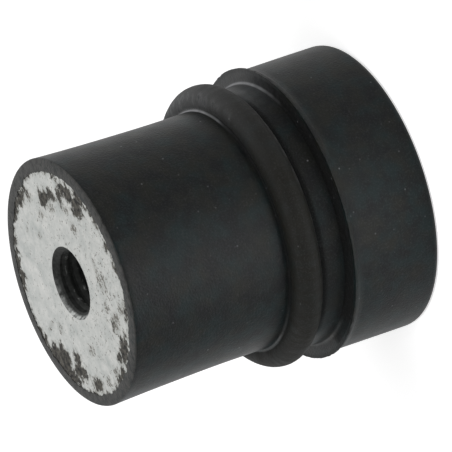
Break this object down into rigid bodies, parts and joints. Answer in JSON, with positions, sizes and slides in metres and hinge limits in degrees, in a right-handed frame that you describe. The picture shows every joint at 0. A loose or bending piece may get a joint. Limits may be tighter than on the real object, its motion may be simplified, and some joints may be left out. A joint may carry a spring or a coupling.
{
  "type": "vibration damper",
  "caption": "Round rubber vibration damper with a snap-in groove between a bead and a lip, a hollow head, and a threaded metal insert bonded into the end of its neck.",
  "frame": {"origin": "centre of the foot, the flat ring at the head's end, on which the damper stands", "axes": "+Z along the damper's axis, from the head to the threaded end; X and Y are free, as the part is round"},
  "size_m": [0.0338, 0.0338, 0.0377],
  "materials": {
    "rubber": "moulded, satin to matt",
    "insert_metal": "blasted, with rubber flash around the edge"
  },
  "bodies": {
    "root": {"rubber_body": "rubber", "threaded_insert": "insert_metal"}
  },
  "joints": []
}
